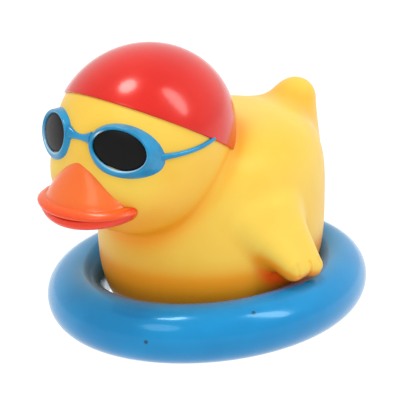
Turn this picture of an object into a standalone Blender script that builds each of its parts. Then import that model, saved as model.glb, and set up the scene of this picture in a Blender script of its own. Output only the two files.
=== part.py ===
# Bath toy: a cast vinyl duck in a bathing cap and swimming goggles, sitting in an oval swim ring.
#
# The duck is one casting. Its cap, goggles, bill, wings and tail are moulded in and painted, so they
# are joined to the body. The ring is a second moulding that lies loose round the duck's waist.
#
# Metres, +Z up. The duck looks along -Y, its left side is +X, and the origin is on the surface that it
# stands on, under the middle of the ring.

import math

import bmesh
import bpy
from mathutils import Matrix, Vector

MM = 0.001
SHARP_ANGLE = math.radians(35.0)
MERGE_DISTANCE = 0.001 * MM

# Swim ring: a round tube bent to an oval, long way fore and aft.
RING_LENGTH = 110.0 * MM
RING_WIDTH = 93.3 * MM
RING_TUBE_RADIUS = 9.0 * MM
RING_CLEARANCE = 0.3 * MM
RING_POINTS = 64
RING_SIDES = 16

# Torso: an oval barrel, longer behind than in front, flat on its back and flat where it stands.
TORSO_SHIFT = 0.5 * MM
TORSO_MIDDLE = 34.0 * MM
TORSO_CENTRE = Vector((0.0, TORSO_SHIFT, TORSO_MIDDLE))
TORSO_HALF_WIDTH = 32.0 * MM
TORSO_FRONT = 38.5 * MM
TORSO_REAR = 42.0 * MM
TORSO_RISE = 30.6 * MM
TORSO_DROP = 36.0 * MM
TORSO_TOP_POWER = 3.5
TORSO_BOTTOM_POWER = 3.0
TORSO_TOP = TORSO_CENTRE.z + TORSO_RISE
TORSO_BACK = TORSO_CENTRE.y + TORSO_REAR

# Blunt tail, turned up behind the torso.
TAIL_ROOT = Vector((0.0, TORSO_BACK - 12.5 * MM, TORSO_TOP - 24.6 * MM))
TAIL_TIP = Vector((0.0, TORSO_BACK + 2.5 * MM, TORSO_TOP - 4.6 * MM))
TAIL_ROOT_RADIUS = 14.0 * MM
TAIL_TIP_RADIUS = 5.4 * MM

# Head, fuller below its middle than above, and the cap that stands proud of it above a tilted plane.
HEAD_HALF_WIDTH = 24.7 * MM
HEAD_HALF_LENGTH = 29.6 * MM
HEAD_CROWN = 25.9 * MM
HEAD_CHIN = 30.3 * MM
HEAD_CHIN_POWER = 2.4
HEAD_REACH = 30.4 * MM
HEAD_LIFT = 2.0 * MM
HEAD_CENTRE = Vector((0.0, TORSO_CENTRE.y - HEAD_REACH, TORSO_TOP + HEAD_LIFT))
FACE = HEAD_CENTRE.y - HEAD_HALF_LENGTH
CHEEK = Vector((8.5 * MM, FACE + 12.0 * MM, HEAD_CENTRE.z - 6.6 * MM))
CHEEK_RADIUS = 10.5 * MM
CAP_THICKNESS = 0.6 * MM
CAP_EDGE_RISE = 3.3 * MM
CAP_TILT = math.radians(29.4)

# Bill: a hood that widens from its point between the goggles to a level rim, over a lower lip.
BILL_RIM_CENTRE = Vector((0.0, FACE + 5.0 * MM, HEAD_CENTRE.z - 15.6 * MM))
BILL_RIM_RADII = Vector((17.4, 13.8, 2.8)) * MM
BILL_HOOD_HEIGHT = 15.0 * MM
BILL_HOOD_RADII = Vector((14.2, 11.8)) * MM
BILL_HOOD_TIP = Vector((2.4, 2.0)) * MM
BILL_HOOD_LEAN = 3.0 * MM
LIP_DROP = 3.4 * MM
LIP_RADII = Vector((16.8, 12.4, 2.7)) * MM

# Goggles: two oval cups that face outwards, leaning back, with their outer ends low.
LENS_CENTRE = Vector((13.0 * MM, FACE + 3.3 * MM, HEAD_CENTRE.z + 3.6 * MM))
LENS_RADII = Vector((8.2, 5.9, 1.5)) * MM
LENS_GROOVE = 0.2 * MM
LENS_RECESS = 1.0 * MM
LENS_SUNK = 1.2 * MM
CUP_WALL = 1.4 * MM
CUP_DEPTH = 11.0 * MM
CUP_SPREAD = 2.4 * MM
CUP_SLANT = Vector((1.0, -1.2)) * MM
CUP_YAW = math.radians(26.0)
CUP_LEAN = math.radians(6.0)
CUP_ROLL = math.radians(14.0)
BRIDGE_RADIUS = 1.3 * MM
BRIDGE_SUNK = 2.6 * MM
STRAP_RADIUS = 1.0 * MM
STRAP_START = math.radians(57.0)
STRAP_END = math.radians(96.0)
STRAP_HEIGHT = HEAD_CENTRE.z + 0.2 * MM
STRAP_RISE = 1.4 * MM
STRAP_POINTS = 13

# Wings: four joined feathers on each side, from the shoulder down to the top of the ring.
SHOULDER_RADIUS = 8.0 * MM
SHOULDER = TORSO_CENTRE + Vector((TORSO_HALF_WIDTH - 7.0 * MM, -3.2 * MM, 3.0 * MM))
SHOULDER_STEP = Vector((0.0, 3.2, 1.0)) * MM
FEATHERS = 4
FEATHER_STEP = 4.0 * MM
FEATHER_MIDDLE = TORSO_CENTRE.y + 2.9 * MM
FEATHER_INSET = 0.6 * MM
FEATHER_CURL = 0.4 * MM
FEATHER_TIP_RADIUS = 2.8 * MM


def clear_scene():
    for old in list(bpy.data.objects):
        bpy.data.objects.remove(old, do_unlink=True)


def new_collection(name):
    collection = bpy.data.collections.new(name)
    bpy.context.scene.collection.children.link(collection)
    return collection


def paint(name, colour, roughness):
    material = bpy.data.materials.new(name)
    material.use_nodes = True
    shader = material.node_tree.nodes["Principled BSDF"]
    shader.inputs["Base Color"].default_value = (*colour, 1.0)
    shader.inputs["Roughness"].default_value = roughness
    shader.inputs["Metallic"].default_value = 0.0
    return material


def mesh_object(name, bm, material, collection):
    mesh = bpy.data.meshes.new(name)
    bmesh.ops.recalc_face_normals(bm, faces=bm.faces)
    bm.to_mesh(mesh)
    bm.free()
    mesh.materials.append(material)
    mesh.shade_smooth()
    mesh.set_sharp_from_angle(angle=SHARP_ANGLE)
    made = bpy.data.objects.new(name, mesh)
    collection.objects.link(made)
    return made


def as_form(made):
    """A form is joined to the duck, or cut from it, and isn't shown by itself."""
    made.hide_render = True
    made.display_type = "WIRE"
    return made


def sphere(segments, rings):
    bm = bmesh.new()
    bmesh.ops.create_uvsphere(bm, u_segments=segments, v_segments=rings, radius=1.0)
    return bm


def ellipsoid(name, centre, radii, material, collection):
    bm = sphere(40, 16)
    place = Matrix.Translation(centre) @ Matrix.Diagonal((*radii, 1.0))
    bmesh.ops.transform(bm, matrix=place, verts=bm.verts)
    return as_form(mesh_object(name, bm, material, collection))


def tapered_finger(name, root, tip, root_radius, tip_radius, material, collection, segments=16, rings=12):
    """A sphere pulled out to a round-ended taper, half of it at the root and half of it at the tip."""
    bm = sphere(segments, rings)
    length = (tip - root).length
    above_equator = 0.5 / rings
    for vert in bm.verts:
        if vert.co.z > above_equator:
            vert.co = vert.co * tip_radius + Vector((0.0, 0.0, length))
        else:
            vert.co = vert.co * root_radius
    turn = (tip - root).to_track_quat("Z", "Y").to_matrix().to_4x4()
    bmesh.ops.transform(bm, matrix=Matrix.Translation(root) @ turn, verts=bm.verts)
    return as_form(mesh_object(name, bm, material, collection))


def rod(name, points, radius, cyclic, material, collection, sides=10):
    """A round bar along the points, as a closed mesh."""
    curve = bpy.data.curves.new(name, "CURVE")
    curve.dimensions = "3D"
    curve.bevel_depth = radius
    curve.bevel_resolution = (sides - 4) // 2
    curve.use_fill_caps = not cyclic
    spline = curve.splines.new("POLY")
    spline.points.add(len(points) - 1)
    for place, point in zip(spline.points, points):
        place.co = (*point, 1.0)
    spline.use_cyclic_u = cyclic
    guide = bpy.data.objects.new(name, curve)
    collection.objects.link(guide)
    bpy.context.view_layer.update()
    mesh = bpy.data.meshes.new_from_object(guide.evaluated_get(bpy.context.evaluated_depsgraph_get()))
    bm = bmesh.new()
    bm.from_mesh(mesh)
    bmesh.ops.remove_doubles(bm, verts=bm.verts, dist=MERGE_DISTANCE)
    bpy.data.objects.remove(guide)
    bpy.data.meshes.remove(mesh)
    return mesh_object(name, bm, material, collection)


def boolean(target, other, operation):
    modifier = target.modifiers.new(other.name, "BOOLEAN")
    modifier.operation = operation
    modifier.solver = "EXACT"
    modifier.material_mode = "TRANSFER"
    modifier.object = other


def ring_half_sizes():
    """Half the length and half the width of the line along the middle of the ring's tube."""
    return RING_LENGTH / 2 - RING_TUBE_RADIUS, RING_WIDTH / 2 - RING_TUBE_RADIUS


def ring_line():
    """Points along the middle of the ring's tube."""
    half_length, half_width = ring_half_sizes()
    angles = [2 * math.pi * step / RING_POINTS for step in range(RING_POINTS)]
    return [
        Vector((half_width * math.sin(angle), -half_length * math.cos(angle), RING_TUBE_RADIUS))
        for angle in angles
    ]


def make_ring(material, collection):
    return rod("swim_ring", ring_line(), RING_TUBE_RADIUS, True, material, collection, RING_SIDES)


def make_ring_seat(material, collection):
    """The space that the duck leaves free for the ring."""
    radius = RING_TUBE_RADIUS + RING_CLEARANCE
    return as_form(rod("ring_seat", ring_line(), radius, True, material, collection, RING_SIDES))


def fuller(unit, power):
    """The length that a point of a round form is divided by, so that its sides follow the power curve."""
    out = math.hypot(unit.x, unit.y)
    return (out**power + abs(unit.z) ** power) ** (1 / power)


def make_torso(material, collection):
    """A sphere pushed out to an oval barrel, with all that falls below the floor laid flat on it."""
    bm = sphere(44, 28)
    for vert in bm.verts:
        upper = vert.co.z > 0
        length = fuller(vert.co, TORSO_TOP_POWER if upper else TORSO_BOTTOM_POWER)
        height = TORSO_RISE if upper else TORSO_DROP
        half_length = TORSO_REAR if vert.co.y > 0 else TORSO_FRONT
        scale = Vector((TORSO_HALF_WIDTH, half_length, height)) / length
        vert.co = Vector(a * b for a, b in zip(vert.co, scale)) + TORSO_CENTRE
        vert.co.z = max(vert.co.z, 0.0)
    return mesh_object("duck", bm, material, collection)


def head_form(skin):
    """The head as an egg that is thicker all over by the skin: an ellipsoid above and fuller cheeks below."""
    bm = sphere(40, 24)
    for vert in bm.verts:
        upper = vert.co.z > 0
        length = 1.0 if upper else fuller(vert.co, HEAD_CHIN_POWER)
        height = HEAD_CROWN if upper else HEAD_CHIN
        radii = Vector((HEAD_HALF_WIDTH, HEAD_HALF_LENGTH, height)) + Vector((skin,) * 3)
        vert.co = Vector(a * b / length for a, b in zip(vert.co, radii)) + HEAD_CENTRE
    return bm


def make_cheeks(material, collection):
    """A round bar across the face, which fills it out on both sides of the bill."""
    ends = [Vector((side * CHEEK.x, CHEEK.y, CHEEK.z)) for side in (-1, 1)]
    return tapered_finger("cheeks", *ends, CHEEK_RADIUS, CHEEK_RADIUS, material, collection, 24, 16)


def make_cap(material, collection):
    """The head's own form, thicker by the cap, with everything below the tilted edge cut away."""
    bm = head_form(CAP_THICKNESS)
    edge_point = HEAD_CENTRE + Vector((0.0, 0.0, CAP_EDGE_RISE))
    normal = Vector((0.0, math.sin(CAP_TILT), math.cos(CAP_TILT)))
    whole = bm.verts[:] + bm.edges[:] + bm.faces[:]
    bmesh.ops.bisect_plane(bm, geom=whole, plane_co=edge_point, plane_no=normal, clear_inner=True)
    rim = [edge for edge in bm.edges if edge.is_boundary]
    bmesh.ops.holes_fill(bm, edges=rim)
    return as_form(mesh_object("cap", bm, material, collection))


def oval_cone(name, front, back, slant, height, top, place, material, collection):
    """A solid between a front oval and a back oval, which the slant moves aside, with its face at the top."""
    bm = bmesh.new()
    bmesh.ops.create_cone(bm, cap_ends=True, segments=40, radius1=1.0, radius2=1.0, depth=height)
    for vert in bm.verts:
        ahead = vert.co.z > 0
        size = front if ahead else back
        shift = (0.0, 0.0) if ahead else slant
        flat = (vert.co.x * size[0] + shift[0], vert.co.y * size[1] + shift[1])
        vert.co = Vector((*flat, vert.co.z + top - height / 2))
    bmesh.ops.transform(bm, matrix=place, verts=bm.verts)
    return as_form(mesh_object(name, bm, material, collection))


def make_bill(upper_paint, lower_paint, collection):
    rim = ellipsoid("bill_rim", BILL_RIM_CENTRE, BILL_RIM_RADII, upper_paint, collection)
    hood = oval_cone(
        "bill_hood",
        BILL_HOOD_TIP,
        BILL_HOOD_RADII,
        (0.0, BILL_HOOD_LEAN),
        BILL_HOOD_HEIGHT,
        BILL_HOOD_HEIGHT,
        Matrix.Translation(BILL_RIM_CENTRE - Vector((0.0, BILL_HOOD_LEAN, 0.0))),
        upper_paint,
        collection,
    )
    lip_centre = BILL_RIM_CENTRE - Vector((0.0, 0.0, LIP_DROP))
    lip = ellipsoid("bill_lip", lip_centre, LIP_RADII, lower_paint, collection)
    return [lip, rim, hood]


def cup_frame(side):
    """The place of one goggle cup: local Z out through the lens, local X towards its outer end."""
    outward = Vector((math.sin(CUP_YAW), -math.cos(CUP_YAW), 0.0))
    along = Vector((math.cos(CUP_YAW), math.sin(CUP_YAW), 0.0))
    up = Vector((0.0, 0.0, 1.0))
    face = outward * math.cos(CUP_LEAN) + up * math.sin(CUP_LEAN)
    rise = up * math.cos(CUP_LEAN) - outward * math.sin(CUP_LEAN)
    across = along * math.cos(CUP_ROLL) - rise * math.sin(CUP_ROLL)
    upward = rise * math.cos(CUP_ROLL) + along * math.sin(CUP_ROLL)
    columns = [Vector((side * axis.x, axis.y, axis.z)) for axis in (across, upward, face, LENS_CENTRE)]
    place = Matrix.Identity(4)
    for index, column in enumerate(columns):
        place.col[index][:3] = column
    return place


def make_goggle(side, name, frame_paint, lens_paint, collection):
    place = cup_frame(side)
    wall = LENS_GROOVE + CUP_WALL
    front = (LENS_RADII.x + wall, LENS_RADII.y + wall)
    back = (front[0] + CUP_SPREAD, front[1] + CUP_SPREAD)
    cup = oval_cone(name + "_cup", front, back, CUP_SLANT, CUP_DEPTH, 0.0, place, frame_paint, collection)
    hole = (LENS_RADII.x + LENS_GROOVE, LENS_RADII.y + LENS_GROOVE)
    depth = 2 * LENS_RECESS
    straight = (0.0, 0.0)
    recess = oval_cone(
        name + "_recess", hole, hole, straight, depth, LENS_RECESS, place, lens_paint, collection
    )
    boolean(cup, recess, "DIFFERENCE")
    bm = sphere(32, 16)
    radii = Matrix.Diagonal((*LENS_RADII, 1.0))
    sunk = Matrix.Translation(Vector((0.0, 0.0, -LENS_SUNK)))
    bmesh.ops.transform(bm, matrix=place @ sunk @ radii, verts=bm.verts)
    lens = as_form(mesh_object(name + "_lens", bm, lens_paint, collection))
    return [cup, lens]


def make_bridge(material, collection):
    """A short bar between the inner ends of the two cups."""
    inner = Vector((-LENS_RADII.x, 0.0, -BRIDGE_SUNK))
    ends = [cup_frame(side) @ inner for side in (-1, 1)]
    return as_form(rod("bridge", ends, BRIDGE_RADIUS, False, material, collection))


def on_head(angle, height):
    """The point of the head's upper half at an angle from straight ahead, at a height."""
    lift = (height - HEAD_CENTRE.z) / HEAD_CROWN
    reach = math.sqrt(1.0 - lift * lift)
    x = HEAD_HALF_WIDTH * reach * math.sin(angle)
    y = HEAD_CENTRE.y - HEAD_HALF_LENGTH * reach * math.cos(angle)
    return Vector((x, y, height))


def make_strap(side, name, material, collection):
    """A round band on the head, level where it leaves the cup and rising until the cap covers it."""
    points = []
    for step in range(STRAP_POINTS):
        share = step / (STRAP_POINTS - 1)
        angle = STRAP_START + (STRAP_END - STRAP_START) * share
        point = on_head(angle, STRAP_HEIGHT + STRAP_RISE * share * share)
        points.append(Vector((side * point.x, point.y, point.z)))
    return as_form(rod(name, points, STRAP_RADIUS, False, material, collection))


def make_wing(side, name, material, collection):
    """Feathers that fan out from the shoulder and rest side by side on the crest of the ring."""
    feathers = []
    crest = ring_half_sizes()[1]
    tip_height = 2 * RING_TUBE_RADIUS + RING_CLEARANCE + FEATHER_TIP_RADIUS
    for index in range(FEATHERS):
        place = index - (FEATHERS - 1) / 2
        curl = FEATHER_CURL * place * place
        root = SHOULDER + place * SHOULDER_STEP
        tip = Vector((crest - FEATHER_INSET - curl, FEATHER_MIDDLE + place * FEATHER_STEP, tip_height + curl))
        ends = [Vector((side * end.x, end.y, end.z)) for end in (root, tip)]
        feathers.append(
            tapered_finger(
                f"{name}_feather_{index + 1}",
                *ends,
                SHOULDER_RADIUS,
                FEATHER_TIP_RADIUS,
                material,
                collection,
            )
        )
    return feathers


def build():
    clear_scene()
    parts = new_collection("bath_duck")
    forms = new_collection("forms")

    vinyl = paint("yellow_vinyl", (0.90, 0.56, 0.07), 0.30)
    cap_paint = paint("cap_red", (0.80, 0.03, 0.02), 0.25)
    bill_paint = paint("bill_orange", (0.85, 0.13, 0.02), 0.30)
    lip_paint = paint("lip_red", (0.75, 0.05, 0.01), 0.30)
    goggle_paint = paint("goggle_blue", (0.02, 0.28, 0.50), 0.30)
    lens_paint = paint("lens_black", (0.015, 0.013, 0.013), 0.20)
    ring_vinyl = paint("ring_blue", (0.01, 0.27, 0.60), 0.25)

    duck = make_torso(vinyl, parts)
    make_ring(ring_vinyl, parts)
    duck_forms = [
        tapered_finger("tail", TAIL_ROOT, TAIL_TIP, TAIL_ROOT_RADIUS, TAIL_TIP_RADIUS, vinyl, forms, 24, 16),
        as_form(mesh_object("head", head_form(0.0), vinyl, forms)),
        make_cheeks(vinyl, forms),
        make_cap(cap_paint, forms),
    ]
    duck_forms += make_bill(bill_paint, lip_paint, forms)
    for side, word in ((1, "left"), (-1, "right")):
        duck_forms += make_goggle(side, f"{word}_goggle", goggle_paint, lens_paint, forms)
        duck_forms.append(make_strap(side, f"{word}_strap", goggle_paint, forms))
        duck_forms += make_wing(side, f"{word}_wing", vinyl, forms)
    duck_forms.append(make_bridge(goggle_paint, forms))
    for form in duck_forms:
        boolean(duck, form, "UNION")
    boolean(duck, make_ring_seat(vinyl, forms), "DIFFERENCE")


build()
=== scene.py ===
import math

import bpy
import numpy as np
from mathutils import Matrix, Vector


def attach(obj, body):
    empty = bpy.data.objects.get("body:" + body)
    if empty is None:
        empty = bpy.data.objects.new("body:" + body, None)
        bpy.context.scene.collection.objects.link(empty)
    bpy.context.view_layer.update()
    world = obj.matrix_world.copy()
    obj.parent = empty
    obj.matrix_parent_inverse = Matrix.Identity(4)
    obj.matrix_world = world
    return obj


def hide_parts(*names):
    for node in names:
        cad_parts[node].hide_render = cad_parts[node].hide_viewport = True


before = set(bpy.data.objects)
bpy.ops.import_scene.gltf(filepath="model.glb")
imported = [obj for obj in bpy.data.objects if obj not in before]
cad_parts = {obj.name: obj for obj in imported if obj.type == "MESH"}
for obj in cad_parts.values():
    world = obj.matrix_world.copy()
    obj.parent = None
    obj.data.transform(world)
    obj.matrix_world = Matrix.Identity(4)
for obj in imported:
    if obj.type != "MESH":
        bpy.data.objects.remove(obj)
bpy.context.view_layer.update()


# The duck's body is one hollow casting of soft yellow vinyl: a barrel chest and back, a round head that
# leans out over the chest, and a blunt tail turned up behind. It comes from a closed mould, so every form
# melts into the next, and it is trimmed flat where it stands.
MM = 0.001
TORSO_CENTRE = np.array([0.0, 0.5, 34.0])
TORSO_HALF_WIDTH = 32.0
TORSO_FRONT = 38.5
TORSO_REAR = 42.0
TORSO_RISE = 30.6
TORSO_DROP = 36.0
TORSO_POWERS = (3.5, 3.0)
TAIL_ROOT = np.array([0.0, 35.3, 32.8])
TAIL_TIP = np.array([0.0, 44.2, 59.8])
TAIL_ROOT_RADIUS = 8.3
TAIL_TIP_RADIUS = 5.6
HEAD_CENTRE = np.array([0.0, -29.9, 66.6])
HEAD_HALF_WIDTH = 24.7
HEAD_HALF_LENGTH = 29.6
HEAD_CROWN = 25.9
HEAD_CHIN = 30.3
HEAD_POWERS = (2.0, 2.4)
CHEEK = np.array([8.0, -47.5, 57.0])
CHEEK_RADIUS = 10.0
CHEEK_BLEND = 5.0
TAIL_BLEND = 14.0
NECK_BLEND = 2.0
BASE_BLEND = 1.5
WING_ROOTS = np.array([[24.0, -12.0, 38.5], [26.0, -7.0, 39.0], [27.0, -3.5, 39.0], [27.0, -0.5, 38.5]])
WING_TIPS = np.array([[36.2, -5.8, 25.6], [37.0, -4.0, 23.3], [37.4, 0.4, 23.9], [37.4, 4.4, 22.4]])
WING_ROOT_RADIUS = 7.4
WING_TIP_RADIUS = 3.5
FEATHER_BLEND = 2.5
SHOULDER_SHARE = 0.42
SHOULDER_BLEND = 3.5
RING_HALF_LENGTH = 46.0
RING_HALF_WIDTH = 37.65
RING_RADIUS = 9.0
OVAL_CORRECTION = 0.85
LEAST_REACH = 0.2
SHADE_REACHES = (2.0, 4.0, 7.0, 11.0, 16.0)
DOWNWARD_SHADE = 0.3
SKIN_HINGE = np.array([0.0, 6.0, 78.0])
SKIN_ROWS = 300
SKIN_COLUMNS = 256
SKIN_CROWDING = 0.85
SKIN_RAY = 62.0
FAN_START = 140.0
FAN_END = 360.0
FAN_STEPS = 4401
FAN_REACH = 100.0
COARSE_STEPS = 401
FINE_STEPS = 2001


def length(vectors):
    return np.linalg.norm(vectors, axis=-1)


def egg(points, centre, half_width, half_lengths, half_heights, powers):
    """Distance to a rounded form, near enough. Its level cuts are ovals, with their own half length in
    front and behind, and from its side to its top or foot it follows the curve on which
    radius^p + height^p is one, with its own half height and power above and below."""
    offset = points - centre
    x, y, z = np.moveaxis(offset, -1, 0)
    around = np.hypot(x / half_width, y / np.where(y > 0, half_lengths[1], half_lengths[0]))
    height = np.abs(z) / np.where(z > 0, half_heights[0], half_heights[1])
    power = np.where(z > 0, powers[0], powers[1])
    reach = (around**power + height**power) ** (1 / power)
    return OVAL_CORRECTION * (reach - 1) * length(offset) / np.maximum(reach, LEAST_REACH)


def taper(points, start, end, start_radius, end_radius):
    """Distance to a round-ended taper: the distance to the nearest point of its middle line, less a
    radius that changes evenly along the line."""
    line = end - start
    share = np.clip((points - start) @ line / (line @ line), 0, 1)
    nearest = start + share[..., None] * line
    return length(points - nearest) - start_radius - (end_radius - start_radius) * share


def blend(first, second, width):
    """The smaller of two distances, with the crease between them filled by a parabola of the width."""
    share = np.clip(0.5 + 0.5 * (second - first) / width, 0, 1)
    return second + (first - second) * share - width * share * (1 - share)


def torso(points):
    lengths = (TORSO_FRONT, TORSO_REAR)
    heights = (TORSO_RISE, TORSO_DROP)
    return egg(points, TORSO_CENTRE, TORSO_HALF_WIDTH, lengths, heights, TORSO_POWERS)


def head(points):
    """Distance to an egg, with a round bar melted in across the face that fills out the cheeks."""
    lengths = (HEAD_HALF_LENGTH, HEAD_HALF_LENGTH)
    heights = (HEAD_CROWN, HEAD_CHIN)
    skull = egg(points, HEAD_CENTRE, HEAD_HALF_WIDTH, lengths, heights, HEAD_POWERS)
    cheeks = taper(points, CHEEK * [-1, 1, 1], CHEEK, CHEEK_RADIUS, CHEEK_RADIUS)
    return blend(skull, cheeks, CHEEK_BLEND)


def body(points):
    """Distance to torso, tail and head melted together, with the base trimmed flat at the floor."""
    tail = taper(points, TAIL_ROOT, TAIL_TIP, TAIL_ROOT_RADIUS, TAIL_TIP_RADIUS)
    whole = blend(blend(torso(points), tail, TAIL_BLEND), head(points), NECK_BLEND)
    return -blend(-whole, points[..., 2], BASE_BLEND)


def mirrored(points):
    """Both sides are alike, so a point of the right side is looked at on the left."""
    return np.stack([np.abs(points[..., 0]), points[..., 1], points[..., 2]], axis=-1)


def feathers(points, share):
    """Distance to the tapers that make up the left wing, each cut off at a share of its length."""
    whole = None
    for root, tip in zip(WING_ROOTS, WING_TIPS):
        end = root + (tip - root) * share
        radius = WING_ROOT_RADIUS + (WING_TIP_RADIUS - WING_ROOT_RADIUS) * share
        feather = taper(points, root, end, WING_ROOT_RADIUS, radius)
        whole = feather if whole is None else blend(whole, feather, FEATHER_BLEND)
    return whole


def both_wings(points):
    return feathers(mirrored(points), 1.0)


def shouldered_body(points):
    """The body with the upper part of both wings melted into it."""
    return blend(body(points), feathers(mirrored(points), SHOULDER_SHARE), SHOULDER_BLEND)


def walk_out(field, origins, directions, reach, steps=44, halvings=20):
    """The distance along each ray from inside a form to where its field is first zero, or the whole reach
    where the ray stays inside: even steps out, and then halving of the step that left the form."""
    inner = np.full(origins.shape[:-1], float(reach))
    outer = inner.copy()
    left = np.zeros(inner.shape, bool)
    for step in range(1, steps + 1):
        travelled = reach * step / steps
        outside = field(origins + directions * travelled) > 0
        fresh = outside & ~left
        inner[fresh] = travelled - reach / steps
        outer[fresh] = travelled
        left |= outside
    for _ in range(halvings):
        middle = (inner + outer) / 2
        outside = field(origins + directions * middle[..., None]) > 0
        outer = np.where(outside, middle, outer)
        inner = np.where(outside, inner, middle)
    return outer


def closed_piece(name, rows, poles=True):
    """A closed mesh from rows of points in millimetres. Each row is a loop. The first and last rows are
    drawn to a point each, or without poles they join each other. Faces are turned so that the volume
    that they close is positive."""
    count, columns = rows.shape[:2]
    if poles:
        ends = rows[0].mean(0)[None], rows[-1].mean(0)[None]
        points = np.concatenate([ends[0], rows[1:-1].reshape(-1, 3), ends[1]])
        number = np.zeros((count, columns), int)
        number[1:-1] = 1 + np.arange((count - 2) * columns).reshape(-1, columns)
        number[-1] = len(points) - 1
    else:
        points = rows.reshape(-1, 3)
        number = np.arange(count * columns).reshape(count, columns)
        number = np.concatenate([number, number[:1]])
    beside = np.roll(number, -1, axis=1)
    faces = np.stack([number[:-1], beside[:-1], beside[1:], number[1:]], axis=-1)
    a, b, c, d = (points[faces[..., corner].ravel()] for corner in range(4))
    volume = (a * np.cross(b, c)).sum() + (a * np.cross(c, d)).sum()
    if volume < 0:
        faces = faces[..., ::-1]
    if poles:
        first = [list(dict.fromkeys(face.tolist())) for face in faces[0]]
        last = [list(dict.fromkeys(face.tolist())) for face in faces[-1]]
        listed = first + faces[1:-1].reshape(-1, 4).tolist() + last
    else:
        listed = faces.reshape(-1, 4).tolist()
    mesh = bpy.data.meshes.new(name)
    mesh.from_pydata((points * MM).tolist(), [], listed)
    mesh.shade_smooth()
    piece = bpy.data.objects.new(name, mesh)
    bpy.context.scene.collection.objects.link(piece)
    return piece


def store(piece, name, numbers):
    """Keeps a number for each of the piece's points, which its finish can read."""
    piece.data.attributes.new(name, "FLOAT", "POINT").data.foreach_set("value", numbers)


def dress(piece, finish, node):
    """Gives a piece its finish, hangs it on the root body and hides the CAD node that it stands for."""
    piece.data.materials.append(finish)
    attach(piece, "root")
    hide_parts(node)


def colour(red, green, blue):
    """A screen colour of 0 to 255 as the linear numbers that a shader takes."""
    screen = np.array([red, green, blue]) / 255
    linear = np.where(screen < 0.04045, screen / 12.92, ((screen + 0.055) / 1.055) ** 2.4)
    return (*linear.tolist(), 1.0)


class Value:
    """A number that changes over a surface. Sums and products of values add Math nodes."""

    def __init__(self, finish, socket):
        self.finish = finish
        self.socket = socket

    def __add__(self, other):
        return self.finish.sum_of("ADD", self, other)

    def __mul__(self, other):
        return self.finish.sum_of("MULTIPLY", self, other)

    __radd__ = __add__
    __rmul__ = __mul__


class Finish:
    """One material. Its constant numbers are set on the shader, and what changes over the surface is a
    Value made by the calls below."""

    def __init__(self, name, **constants):
        self.material = bpy.data.materials.new(name)
        self.material.use_nodes = True
        self.tree = self.material.node_tree
        self.shader = self.tree.nodes["Principled BSDF"]
        for socket, value in constants.items():
            self.shader.inputs[socket.replace("_", " ")].default_value = value
        self.place = self.node("ShaderNodeTexCoord", output="Object")

    def feed(self, socket, value):
        if isinstance(value, Value):
            self.tree.links.new(value.socket, socket)
        else:
            socket.default_value = value

    def node(self, kind, settings=None, inputs=None, output=0):
        made = self.tree.nodes.new(kind)
        for name, value in (settings or {}).items():
            setattr(made, name, value)
        for name, value in (inputs or {}).items():
            self.feed(made.inputs[name], value)
        return Value(self, made.outputs[output])

    def sum_of(self, operation, *terms):
        return self.node("ShaderNodeMath", {"operation": operation}, dict(enumerate(terms)))

    def noise(self, size, detail=2.0):
        """Cloudy numbers round a half, with clouds of the size in millimetres."""
        inputs = {"Vector": self.place, "Scale": 1 / (size * MM), "Detail": detail}
        return self.node("ShaderNodeTexNoise", inputs=inputs)

    def between(self, value, low, high):
        """Nought below the low number, one above the high one and smooth between them."""
        inputs = {"Value": value, "From Min": low, "From Max": high}
        return self.node("ShaderNodeMapRange", {"interpolation_type": "SMOOTHSTEP"}, inputs)

    def mix(self, share, first, second):
        return self.node("ShaderNodeMix", {"data_type": "RGBA"}, {0: share, 6: first, 7: second}, 2)

    def attribute(self, name):
        """A number stored at the piece's points."""
        return self.node("ShaderNodeAttribute", {"attribute_name": name}, output="Fac")

    def paint(self, base, roughness):
        self.feed(self.shader.inputs["Base Color"], base)
        self.feed(self.shader.inputs["Roughness"], roughness)
        return self

    def bump(self, height, depth):
        """Bumps of the depth in millimetres."""
        inputs = {"Height": height, "Distance": depth * MM, "Strength": 1.0}
        self.feed(self.shader.inputs["Normal"], self.node("ShaderNodeBump", inputs=inputs))
        return self.material


def body_and_ring(points):
    """Distance to the nearer of the body and the swim ring, which is a tube round a level oval."""
    x, y, z = np.moveaxis(points, -1, 0)
    around = np.hypot(x / RING_HALF_WIDTH, y / RING_HALF_LENGTH)
    level = (around - 1) * np.hypot(x, y) / np.maximum(around, LEAST_REACH)
    return np.minimum(body(points), np.hypot(level, z - RING_RADIUS) - RING_RADIUS)


def room_taken(field, points, normals):
    """How much of the room in front of each point a form takes up, from nought to one: at each of a few
    distances along the normal, the share of that distance by which the form is closer."""
    taken = np.zeros(len(points))
    for reach in SHADE_REACHES:
        nearness = 1 - np.clip(field(points + normals * reach) / reach, 0, 1)
        taken += nearness / len(SHADE_REACHES)
    return taken


def add_shade(piece):
    """Stores the room that body and ring take up in front of each point as shade, and the room that the wings
    take up as wing_shade, for the finish to paint as shade. What faces down gets some painted shade
    everywhere."""
    size = len(piece.data.vertices)
    points, normals = np.empty(size * 3), np.empty(size * 3)
    piece.data.vertices.foreach_get("co", points)
    piece.data.vertices.foreach_get("normal", normals)
    points = points.reshape(-1, 3) / MM
    normals = normals.reshape(-1, 3)
    # Painted shade on what faces down, whatever lies in front of it.
    downward = np.clip(0.1 - normals[:, 2], 0, 1)
    store(piece, "shade", room_taken(body_and_ring, points, normals) + DOWNWARD_SHADE * downward)
    store(piece, "wing_shade", room_taken(both_wings, points, normals))


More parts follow.
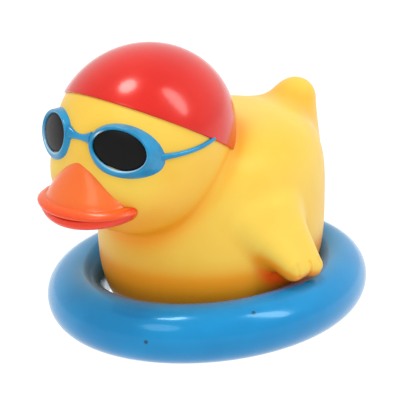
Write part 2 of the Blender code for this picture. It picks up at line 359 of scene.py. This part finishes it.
def yellow_vinyl():
    """Soft vinyl with a faint mould texture. Painted shade turns it warm orange where shade is stored, and
    deep orange with a slight painted glow where a wing is close in front of it. The glow stands in for light
    that has passed through the vinyl."""
    finish = Finish(
        "yellow_vinyl",
        Specular_IOR_Level=0.35,
        Specular_Tint=(1.0, 0.8, 0.45, 1.0),
        Emission_Strength=1.0,
    )
    clouds = finish.between(finish.noise(24.0, 3.0), 0.35, 0.7)
    own_yellow = finish.mix(clouds, colour(225, 191, 80), colour(222, 184, 68))
    # Painted shade: warm orange where body, ring or a downward face take up the room in front.
    painted_shade = finish.mix(finish.between(finish.attribute("shade"), 0.06, 0.5), own_yellow, colour(236, 150, 28))
    under = finish.attribute("wing_shade")
    # Deeper painted shade, deep orange, where a wing is close in front.
    base = finish.mix(finish.between(under, 0.05, 0.4), painted_shade, colour(236, 88, 12))
    # A painted orange glow under the wings, though the vinyl is no lamp, standing in for light that passes
    # through it.
    painted_glow = finish.mix(finish.between(under, 0.1, 0.45), (0.0, 0.0, 0.0, 1.0), (0.13, 0.015, 0.0, 1.0))
    finish.feed(finish.shader.inputs["Emission Color"], painted_glow)
    roughness = 0.32 + 0.1 * finish.noise(6.0)
    return finish.paint(base, roughness).bump(finish.noise(1.3, 3.0), 0.02)


def fan_directions(angles):
    """The way out from the hinge, along the middle of the half-plane at each angle."""
    return np.stack([0 * angles, np.cos(angles), np.sin(angles)], axis=-1)


def body_on_fan(angles, heights):
    """The body's field along the middle of each half-plane, at the heights over the hinge."""
    return body(SKIN_HINGE + fan_directions(angles)[:, None] * heights[:, None])


def fan_limits():
    """The angles at which a half-plane that turns about the hinge first and last touches the body."""
    angles = np.radians(np.linspace(FAN_START, FAN_END, FAN_STEPS))
    heights = np.linspace(0, FAN_REACH, COARSE_STEPS)
    inside = body_on_fan(angles, heights).min(axis=1) < 0
    return angles[inside][0], angles[inside][-1]


def skin_rows():
    """The cuts of half-planes that turn about a level hinge above the dip of the back, from the crown of
    the head round under the chest to the tip of the tail. In each, rays go out from the middle of the cut
    to the body's surface. The half-planes crowd towards both ends, where the cuts shrink to points."""
    share = np.linspace(0, 1, SKIN_ROWS)
    share = share - SKIN_CROWDING * np.sin(2 * np.pi * share) / (2 * np.pi)
    first, last = fan_limits()
    angles = first + (last - first) * share
    heights = np.linspace(0, FAN_REACH, FINE_STEPS)
    field = body_on_fan(angles, heights)
    inside = field < 0
    middle = (inside * heights).sum(axis=1) / np.maximum(inside.sum(axis=1), 1)
    middle = np.where(inside.any(axis=1), middle, heights[field.argmin(axis=1)])
    outward = fan_directions(angles)
    turn = np.linspace(0, 2 * np.pi, SKIN_COLUMNS, endpoint=False)
    across = np.array([1.0, 0.0, 0.0])
    directions = outward[:, None] * np.cos(turn)[:, None] + across * np.sin(turn)[:, None]
    origins = (SKIN_HINGE + outward * middle[:, None])[:, None] + 0 * directions
    distance = walk_out(shouldered_body, origins, directions, SKIN_RAY)
    return origins + directions * distance[..., None]


vinyl = yellow_vinyl()
skin = closed_piece("duck_skin", skin_rows())
add_shade(skin)
dress(skin, vinyl, "duck")


# The wings are moulded with the body, in the same yellow vinyl: each is a broad shoulder that swells out
# of the side, drawn down to two blunt lobes that hang just over the crest of the swim ring, with short
# grooves pressed in their ends. Each is a surface of its own over the skin, read from the same field.
WING_LINE_START = np.array([26.0, -6.0, 38.5])
WING_LINE_END = np.array([35.8, 0.2, 25.2])
WING_ROWS = 166
WING_COLUMNS = 176
WING_RAY = 17.0
WING_DIP = 0.06
WING_LIFT = 0.09
LIFT_START = -0.5
LIFT_SPAN = 4.0
GROOVES = np.array([[[-5.8, 26.0], [-5.2, 22.0]], [[-0.2, 25.5], [0.2, 19.0]], [[4.6, 25.0], [5.4, 21.0]]])
GROOVE_DEPTH = 0.3
GROOVE_HALF_WIDTH = 0.6


def wing_field(points):
    """The whole wing, melted into the body, with grooves given by the y and z of their ends. Where it
    stands well out of the body it covers the skin by a hair, and elsewhere it dips under the skin."""
    bare = body(points)
    melted = blend(bare, feathers(points, 1.0), SHOULDER_BLEND)
    for start, end in GROOVES:
        gap = taper(points[..., 1:], start, end, 0.0, 0.0) / GROOVE_HALF_WIDTH
        melted = melted + GROOVE_DEPTH * np.exp(-gap * gap)
    lift = np.clip((bare - LIFT_START) / LIFT_SPAN, 0, 1)
    lift = lift * lift * (3 - 2 * lift)
    return melted + WING_DIP - WING_LIFT * lift


def wing_rows(side):
    """Rays from a line inside the wing: a fan round its upper end, a sleeve along it and a fan round its
    lower end, each ray as long as it takes to leave the wing."""
    line = WING_LINE_END - WING_LINE_START
    along = line / length(line)
    fore = np.array([0.0, 1.0, 0.0])
    fore = fore - along * (fore @ along)
    fore = fore / length(fore)
    out = np.cross(fore, along)
    stages = np.linspace(0, 3, WING_ROWS)
    tilt = np.radians(90) * (np.clip(stages, 0, 1) - 1 + np.clip(stages - 2, 0, 1))
    slide = np.clip(stages - 1, 0, 1)
    turn = np.linspace(0, 2 * np.pi, WING_COLUMNS, endpoint=False)
    ring = out * np.cos(turn)[:, None] + fore * np.sin(turn)[:, None]
    directions = ring * np.cos(tilt)[:, None, None] + along * np.sin(tilt)[:, None, None]
    origins = (WING_LINE_START + line * slide[:, None])[:, None] + 0 * directions
    distance = walk_out(wing_field, origins, directions, WING_RAY)
    rows = origins + directions * distance[..., None]
    return rows * [side, 1, 1]


for side, word in ((1, "left"), (-1, "right")):
    wing = closed_piece(word + "_wing", wing_rows(side))
    add_shade(wing)
    dress(wing, vinyl, "duck")


# The bathing cap is part of the casting too, a smooth step of about half a millimetre over the head,
# painted gloss red down to its edge.
CAP_THICKNESS = 0.6
CAP_EDGE_RISE = 3.3
CAP_TILT = math.radians(29.4)
CAP_EDGE_ROUND = 0.5
CAP_RAY = 36.0
CAP_ROWS = 230
CAP_COLUMNS = 330
CAP_LAST_TILTS = np.pi / 2 - np.array([0.012, 0.008, 0.005, 0.003, 0.0015])


def cap_rows():
    """Rays from the middle of the cap's edge plane, from straight up to level with it, as far as the
    head and a thickness that is rounded off at the edge. The last rows run back under the head."""
    normal = np.array([0.0, math.sin(CAP_TILT), math.cos(CAP_TILT)])
    middle = HEAD_CENTRE + normal * CAP_EDGE_RISE * normal[2]
    first = np.array([1.0, 0.0, 0.0])
    second = np.cross(normal, first)

    def cap_field(points):
        above = np.clip((points - middle) @ normal / CAP_EDGE_ROUND, 0, 1)
        rounded = CAP_EDGE_ROUND * (1 - np.sqrt(1 - (1 - above) ** 2))
        return head(points) - CAP_THICKNESS + rounded

    share = np.linspace(0, 1, CAP_ROWS)
    tilt = np.pi / 2 * (share + 0.5 * np.sin(2 * np.pi * share) / (2 * np.pi))
    tilt = np.sort(np.concatenate([tilt, CAP_LAST_TILTS]))
    turn = np.linspace(0, 2 * np.pi, CAP_COLUMNS, endpoint=False)
    level = first * np.cos(turn)[:, None] + second * np.sin(turn)[:, None]
    directions = normal * np.cos(tilt)[:, None, None] + level * np.sin(tilt)[:, None, None]
    origins = middle + 0 * directions
    distance = walk_out(cap_field, origins, directions, CAP_RAY)
    rows = origins + directions * distance[..., None]
    under = middle + (rows[-1] - middle) * np.linspace(0.975, 0, 8)[:, None, None]
    return np.concatenate([rows, under])


def red_paint():
    """Gloss red enamel, sprayed on thinly enough to show a little of the vinyl's own grain."""
    finish = Finish("cap_red", Coat_Weight=0.4, Coat_Roughness=0.14, Specular_Tint=(1.0, 0.4, 0.35, 1.0))
    clouds = finish.between(finish.noise(14.0, 3.0), 0.35, 0.7)
    base = finish.mix(clouds, colour(202, 25, 12), colour(194, 19, 9))
    roughness = 0.2 + 0.08 * finish.noise(5.0)
    return finish.paint(base, roughness).bump(finish.noise(0.9, 3.0), 0.015)


dress(closed_piece("bathing_cap", cap_rows()), red_paint(), "duck")


# The goggles are moulded on the face and painted blue: two oval cups that splay outwards, with a rounded
# rim round each black lens, a short bridge between them and a strap that runs back under the cap.
LENS_CENTRE = np.array([13.0, -56.2, 70.2])
LENS_OVAL = np.array([8.2, 5.7])
CUP_YAW = math.radians(26)
CUP_LEAN = math.radians(6)
CUP_ROLL = math.radians(14)
CUP_ROWS = 110
CUP_COLUMNS = 160
CUP_SLANT = np.array([1.2, -2.2])
CUP_SLANT_DEPTH = 9.0
CUP_FLARE = 0.8
LENS_SEAT = 0.5
LENS_RISE = 1.6
LENS_SUNK = 1.3
BRIDGE_END = np.array([-8.8, 0.3, -1.6])
BRIDGE_SAG = 0.3
BRIDGE_HALF_WIDTH = 1.05
BRIDGE_HALF_DEPTH = 1.2
STRAP_START = 50.0
STRAP_TURN = 46.0
STRAP_HEIGHT = 67.2
STRAP_RISE = 1.8
STRAP_PROUD = 0.25
STRAP_HALF_WIDTH = 0.72
STRAP_HALF_DEPTH = 0.65


def curve_through(knots, count, closed=False):
    """Points along a smooth line through the knots: in each span the cubic whose slope at a knot is half
    of the way between its two neighbours."""
    knots = np.asarray(knots, float)
    size = len(knots)
    spans = size if closed else size - 1
    place = np.linspace(0, spans, count, endpoint=not closed)
    span = np.minimum(place.astype(int), spans - 1)
    share = (place - span)[:, None]
    if closed:
        before, start, end, after = (knots[(span + step) % size] for step in (-1, 0, 1, 2))
    else:
        before, start, end, after = (knots[np.clip(span + step, 0, size - 1)] for step in (-1, 0, 1, 2))
    leave = (end - before) / 2
    arrive = (after - start) / 2
    rise = share * share * (3 - 2 * share)
    return (
        start * (1 - rise)
        + end * rise
        + leave * share * (1 - share) ** 2
        - arrive * share * share * (1 - share)
    )


def cup_axes(side):
    """The cup's own axes: across to its outer end, up, and out through the lens."""
    outward = np.array([math.sin(CUP_YAW), -math.cos(CUP_YAW), 0.0])
    sideways = np.array([math.cos(CUP_YAW), math.sin(CUP_YAW), 0.0])
    up = np.array([0.0, 0.0, 1.0])
    face = outward * math.cos(CUP_LEAN) + up * math.sin(CUP_LEAN)
    rise = up * math.cos(CUP_LEAN) - outward * math.sin(CUP_LEAN)
    across = sideways * math.cos(CUP_ROLL) - rise * math.sin(CUP_ROLL)
    upward = rise * math.cos(CUP_ROLL) + sideways * math.sin(CUP_ROLL)
    return np.array([across, upward, face]) * [side, 1, 1]


def on_cup(side, local):
    return LENS_CENTRE * [side, 1, 1] + local @ cup_axes(side)


def cup_rows(side):
    """A profile carried round the lens's oval. Each of its points is a distance outside the oval and a height
    above the face, and the further back it lies, the further the wall slants out and down. With the rows goes
    how strong a pale painted highlight is at each point: it lies on the rim's inner edge, by the bridge and
    below the lens."""
    profile = [
        (-1.5, -3.5),
        (-0.3, -2.2),
        (0.0, -1.3),
        (0.1, -0.55),
        (0.35, -0.12),
        (0.7, 0.0),
        (1.05, -0.15),
        (1.4, -0.8),
        (2.2, -2.6),
        (3.3, -5.5),
        (4.2, -8.5),
        (4.6, -11.0),
        (2.0, -12.0),
        (-1.0, -9.0),
    ]
    out, height = curve_through(profile, CUP_ROWS, closed=True).T[:, :, None]
    turn = np.linspace(0, 2 * np.pi, CUP_COLUMNS, endpoint=False)
    slant = np.clip(-height / CUP_SLANT_DEPTH, 0, 1)
    flare = 1 + CUP_FLARE * np.clip(-np.sin(turn), 0, 1) ** 2
    x = (LENS_OVAL[0] + out) * np.cos(turn) + CUP_SLANT[0] * slant
    y = (LENS_OVAL[1] + out * flare) * np.sin(turn) + CUP_SLANT[1] * slant
    rows = on_cup(side, np.stack([x, y, height + 0 * x], axis=-1))
    # A pale painted highlight on the rim's inner edge, below the lens and by the bridge.
    rim_edge = np.exp(-(((out - 0.25) / 0.2) ** 2)) * (height > -0.9)
    below_lens = 0.55 * np.clip(np.cos(turn + np.radians(60)), 0, 1)
    by_bridge = np.exp(-(((turn - np.radians(152)) / 0.22) ** 2))
    return rows, rim_edge * (below_lens + by_bridge)


def lens_rows(side):
    """A flat dome: an ellipsoid, seated just under the rim."""
    angle = np.linspace(0, np.pi, 40)[:, None]
    turn = np.linspace(0, 2 * np.pi, 120, endpoint=False)
    x = (LENS_OVAL[0] + LENS_SEAT) * np.sin(angle) * np.cos(turn)
    y = (LENS_OVAL[1] + LENS_SEAT) * np.sin(angle) * np.sin(turn)
    z = LENS_RISE * np.cos(angle) - LENS_SUNK
    return on_cup(side, np.stack([x, y, z + 0 * x], axis=-1))


def sweep(path, half_width, half_depth, normals, columns=28):
    """An oval profile carried along a path, with its depth along the normals. Both ends are drawn in."""
    along = np.gradient(path, axis=0)
    along = along / length(along)[:, None]
    across = np.cross(along, normals)
    across = across / length(across)[:, None]
    deep = np.cross(across, along)
    turn = np.linspace(0, 2 * np.pi, columns, endpoint=False)
    wide = (half_width[:, None] * np.cos(turn))[..., None] * across[:, None]
    high = (half_depth[:, None] * np.sin(turn))[..., None] * deep[:, None]
    return path[:, None] + wide + high


def bridge_rows():
    """A bar between the inner ends of the cups, thicker where it joins them."""
    right, left = (on_cup(side, BRIDGE_END) for side in (-1, 1))
    share = np.linspace(0, 1, 41)
    path = right + (left - right) * share[:, None]
    path[:, 2] -= BRIDGE_SAG * np.sin(np.pi * share)
    spread = (2 * share - 1) ** 2
    drawn = np.where((share == 0) | (share == 1), 0.0, 1.0)
    half_width = drawn * (BRIDGE_HALF_WIDTH + 1.2 * spread)
    half_depth = drawn * (BRIDGE_HALF_DEPTH + 0.4 * spread)
    normals = np.array([0.0, -1.0, 0.0]) + 0 * path
    return sweep(path, half_width, half_depth, normals)


def on_head(angle, height, proud):
    """The point of the head's upper half at an angle from straight ahead, at a height, and its outward
    normal."""
    radii = np.array([HEAD_HALF_WIDTH, HEAD_HALF_LENGTH, HEAD_CROWN])
    lift = (height - HEAD_CENTRE[2]) / HEAD_CROWN
    reach = np.sqrt(1 - lift**2)
    unit = np.stack([reach * np.sin(angle), -reach * np.cos(angle), lift], axis=-1)
    normal = unit / radii
    normal = normal / length(normal)[:, None]
    return HEAD_CENTRE + unit * radii + normal * proud, normal


def strap_rows(side):
    """A flat band half sunk in the head, wider where it leaves the cup, level there and then rising until
    the cap covers it."""
    share = np.linspace(0, 1, 70)
    angle = np.radians(STRAP_START + STRAP_TURN * share)
    path, normals = on_head(angle, STRAP_HEIGHT + STRAP_RISE * share**3, STRAP_PROUD)
    drawn = np.where((share == 0) | (share == 1), 0.0, 1.0)
    flare = np.exp(-share / 0.12)
    half_width = drawn * (STRAP_HALF_WIDTH + 1.3 * flare)
    half_depth = drawn * (STRAP_HALF_DEPTH + 0.5 * flare)
    return sweep(path, half_width, half_depth, normals) * [side, 1, 1]


def goggle_paint():
    """Satin blue enamel with a soft sheen, and a pale painted highlight along the rim's inner edge."""
    finish = Finish("goggle_blue", Coat_Weight=0.35, Coat_Roughness=0.1, Specular_Tint=(0.35, 0.75, 1.0, 1.0))
    clouds = finish.between(finish.noise(5.0, 3.0), 0.35, 0.7)
    blue = finish.mix(clouds, colour(12, 132, 180), colour(9, 118, 164))
    # The pale painted highlight on the rim's inner edge.
    base = finish.mix(finish.attribute("rim_highlight"), blue, colour(214, 236, 240))
    roughness = 0.26 + 0.1 * finish.noise(2.5)
    return finish.paint(base, roughness).bump(finish.noise(0.7, 2.0), 0.012)


def lens_paint():
    """Black enamel, brushed on, so that it is a little cloudy."""
    finish = Finish("lens_black", Specular_IOR_Level=0.14)
    clouds = finish.noise(1.2, 3.0)
    base = finish.mix(clouds, colour(14, 13, 13), colour(7, 7, 7))
    roughness = 0.35 + 0.1 * finish.noise(2.0)
    return finish.paint(base, roughness).bump(finish.noise(0.5, 2.0), 0.01)


blue_paint = goggle_paint()
black_paint = lens_paint()
for side, word in ((1, "left"), (-1, "right")):
    rows, rim_highlight = cup_rows(side)
    cup = closed_piece(word + "_goggle_cup", rows, poles=False)
    # Stores the cup's painted highlight at its points.
    store(cup, "rim_highlight", rim_highlight.ravel())
    dress(cup, blue_paint, "duck")
    dress(closed_piece(word + "_goggle_lens", lens_rows(side)), black_paint, "duck")
    dress(closed_piece(word + "_goggle_strap", strap_rows(side)), blue_paint, "duck")
dress(closed_piece("goggle_bridge", bridge_rows()), blue_paint, "duck")


# The bill is moulded on the face and painted orange: a hood that rises to a point between the goggles
# and spreads to a thick rolled rim, over a redder lower lip. The mouth between them is a groove.
MOUTH_CORNER = 17.0
BILL_COLUMNS = 240
RED_BELOW = 50.8
ORANGE_ABOVE = 54.6


def stacked_ovals(profile, count):
    """Ovals stacked from the top of a form to its underside. A row of the profile gives the half width,
    how far the front and the back reach, the middle's y, the height, and how much higher the corners
    of the mouth are, to which the oval rises with the square of x."""
    wide, front, back, middle, height, rise = curve_through(profile, count).T[:, :, None]
    turn = np.linspace(0, 2 * np.pi, BILL_COLUMNS, endpoint=False)
    x = wide * np.sin(turn)
    y = middle - np.where(np.cos(turn) > 0, front, back) * np.cos(turn)
    z = height + rise * (x / MOUTH_CORNER) ** 2
    return np.stack([x, y, z], axis=-1)


def bill_rows():
    profile = [
        (0.0, 0.0, 0.0, -57.8, 65.4, 0.0),
        (1.8, 1.8, 1.2, -57.4, 64.7, 0.0),
        (5.8, 4.4, 3.0, -56.6, 62.2, 0.0),
        (9.2, 7.0, 4.0, -55.5, 59.4, 0.0),
        (11.6, 9.0, 5.0, -54.8, 56.8, 0.0),
        (13.2, 10.6, 6.0, -54.5, 54.4, 0.1),
        (13.9, 11.2, 6.0, -54.5, 53.0, 0.2),
        (14.4, 11.6, 6.0, -54.5, 52.4, 0.3),
        (15.1, 12.2, 6.0, -54.5, 52.3, 0.4),
        (16.2, 13.0, 6.0, -54.5, 51.7, 0.5),
        (17.1, 13.7, 6.0, -54.5, 50.8, 0.6),
        (17.1, 13.7, 6.0, -54.5, 50.1, 0.7),
        (16.4, 13.0, 6.0, -54.5, 49.7, 0.8),
        (13.0, 10.0, 8.0, -54.5, 49.8, 0.8),
        (0.0, 0.0, 0.0, -54.5, 50.0, 0.8),
    ]
    return stacked_ovals(profile, 190)


def lip_rows():
    profile = [
        (0.0, 0.0, 0.0, -54.5, 49.3, 4.0),
        (13.0, 9.6, 8.0, -54.5, 49.3, 4.0),
        (15.9, 12.0, 9.0, -54.5, 48.9, 4.0),
        (16.8, 12.4, 9.4, -54.5, 47.9, 3.6),
        (16.6, 12.2, 9.3, -54.5, 46.9, 3.2),
        (15.2, 11.2, 8.8, -54.5, 46.0, 2.8),
        (11.0, 8.0, 7.0, -54.5, 45.5, 2.4),
        (0.0, 0.0, 0.0, -54.5, 45.4, 2.4),
    ]
    return stacked_ovals(profile, 100)


def bill_paint(name, upper, lower):
    """Satin orange that is redder low down."""
    finish = Finish(
        name,
        Coat_Weight=0.3,
        Coat_Roughness=0.18,
        Specular_Tint=(1.0, 0.6, 0.4, 1.0),
        Subsurface_Weight=0.3,
        Subsurface_Radius=(1.0, 0.4, 0.2),
        Subsurface_Scale=0.003,
    )
    height = finish.node("ShaderNodeSeparateXYZ", inputs={0: finish.place}, output=2)
    uneven = height + 1.2 * MM * finish.noise(6.0, 3.0)
    base = finish.mix(finish.between(uneven, RED_BELOW * MM, ORANGE_ABOVE * MM), lower, upper)
    roughness = 0.25 + 0.1 * finish.noise(3.0)
    return finish.paint(base, roughness).bump(finish.noise(0.8, 3.0), 0.015)


orange_paint = bill_paint("bill_orange", colour(224, 102, 36), colour(220, 68, 18))
lip_paint = bill_paint("lip_orange", colour(226, 62, 16), colour(222, 46, 10))
dress(closed_piece("bill", bill_rows()), orange_paint, "duck")
dress(closed_piece("lower_lip", lip_rows()), lip_paint, "duck")


# The swim ring is a separate moulding of glossy blue vinyl: a round tube bent to an oval that the duck's
# waist drops into. It lies loose on the floor round the duck.
RING_ROWS = 360
RING_COLUMNS = 120
SPECKS = [(38.05, -24.56, 16.0), (18.01, -50.66, 9.55)]


def ring_rows():
    """A circle carried round an oval, always square to it."""
    turn = np.linspace(0, 2 * np.pi, RING_ROWS, endpoint=False)
    sine, cosine, level = np.sin(turn), np.cos(turn), 0 * turn
    middle = np.stack([RING_HALF_WIDTH * sine, -RING_HALF_LENGTH * cosine, level + RING_RADIUS], -1)
    out = np.stack([RING_HALF_LENGTH * sine, -RING_HALF_WIDTH * cosine, level], -1)
    out = out / length(out)[:, None]
    lap = np.linspace(0, 2 * np.pi, RING_COLUMNS, endpoint=False)[:, None]
    up = np.array([0.0, 0.0, 1.0])
    tube = out[:, None] * np.cos(lap) + up * np.sin(lap)
    return middle[:, None] + RING_RADIUS * tube


def ring_vinyl():
    """Glossy blue vinyl with two dark specks in it."""
    finish = Finish("ring_blue", Coat_Weight=0.3, Coat_Roughness=0.06, Specular_Tint=(0.3, 0.75, 1.0, 1.0))
    clouds = finish.between(finish.noise(16.0, 3.0), 0.35, 0.7)
    base = finish.mix(clouds, colour(5, 129, 186), colour(4, 120, 177))
    for speck in SPECKS:
        place = tuple(number * MM for number in speck)
        gap = finish.node("ShaderNodeVectorMath", {"operation": "DISTANCE"}, {0: finish.place, 1: place}, 1)
        base = finish.mix(finish.between(gap, 0.3 * MM, 0.9 * MM), colour(20, 60, 80), base)
    roughness = 0.18 + 0.08 * finish.noise(6.0)
    return finish.paint(base, roughness).bump(finish.noise(3.0, 2.0), 0.02)


dress(closed_piece("swim_ring_tube", ring_rows(), poles=False), ring_vinyl(), "swim_ring")


# The stage is a plain white floor under soft lamps, and the camera stands where the photograph's did,
# a little above the duck and off its left shoulder.
WHITE = (1.0, 1.0, 1.0, 1.0)
FLOOR_REACH = 4.0
LAMP_AIM = Vector((0.0, 0.0, 0.045))
CAMERA_AZIMUTH = math.radians(40.0)
CAMERA_ELEVATION = math.radians(20.11)
CAMERA_DISTANCE = 800.0
CAMERA_TARGET = Vector((-3.33, -0.215, 35.4))

white_floor = Finish(
    "white_floor",
    Base_Color=(0.1, 0.1, 0.1, 1.0),
    Roughness=0.9,
    Emission_Color=WHITE,
    Emission_Strength=1.0,
)
corners = [(x * FLOOR_REACH, y * FLOOR_REACH, 0) for x, y in ((-1, -1), (1, -1), (1, 1), (-1, 1))]
floor_mesh = bpy.data.meshes.new("floor")
floor_mesh.from_pydata(corners, [], [(0, 1, 2, 3)])
floor_mesh.materials.append(white_floor.material)
floor = bpy.data.objects.new("floor", floor_mesh)
bpy.context.scene.collection.objects.link(floor)


def lamp(name, azimuth, elevation, distance, width, height, power):
    """A soft oval lamp that faces the duck, with its angles in degrees, its sizes in metres and its power
    in watts. Azimuth 0 is in front of the duck and 90 off its left side."""
    data = bpy.data.lights.new(name, "AREA")
    data.shape = "ELLIPSE"
    data.size = width
    data.size_y = height
    data.energy = power
    made = bpy.data.objects.new(name, data)
    azimuth, elevation = math.radians(azimuth), math.radians(elevation)
    level = math.cos(elevation)
    out = Vector((math.sin(azimuth) * level, -math.cos(azimuth) * level, math.sin(elevation)))
    facing = out.to_track_quat("Z", "Y").to_matrix().to_4x4()
    made.matrix_world = Matrix.Translation(LAMP_AIM + out * distance) @ facing
    bpy.context.scene.collection.objects.link(made)


lamp("top_lamp", -4, 79, 0.9, 0.28, 0.28, 3.0)
lamp("side_lamp", 113, 42, 0.9, 0.2, 0.6, 2.3)
lamp("front_lamp", 20, 40, 1.2, 0.55, 0.55, 1.9)

world = bpy.data.worlds.new("studio")
world.use_nodes = True
world.node_tree.nodes["Background"].inputs["Color"].default_value = WHITE
world.node_tree.nodes["Background"].inputs["Strength"].default_value = 0.87
bpy.context.scene.world = world
bpy.context.scene.view_settings.view_transform = "Standard"

camera_data = bpy.data.cameras.new("camera")
camera_data.sensor_width = 36.0
camera_data.lens = 229.7
camera = bpy.data.objects.new("camera", camera_data)
level = math.cos(CAMERA_ELEVATION)
back = Vector(
    (math.sin(CAMERA_AZIMUTH) * level, -math.cos(CAMERA_AZIMUTH) * level, math.sin(CAMERA_ELEVATION))
)
right = Vector((math.cos(CAMERA_AZIMUTH), math.sin(CAMERA_AZIMUTH), 0.0))
turned = Matrix((right, back.cross(right), back)).transposed().to_4x4()
camera.matrix_world = Matrix.Translation(CAMERA_TARGET * MM + back * CAMERA_DISTANCE * MM) @ turned
bpy.context.scene.collection.objects.link(camera)
bpy.context.scene.camera = camera
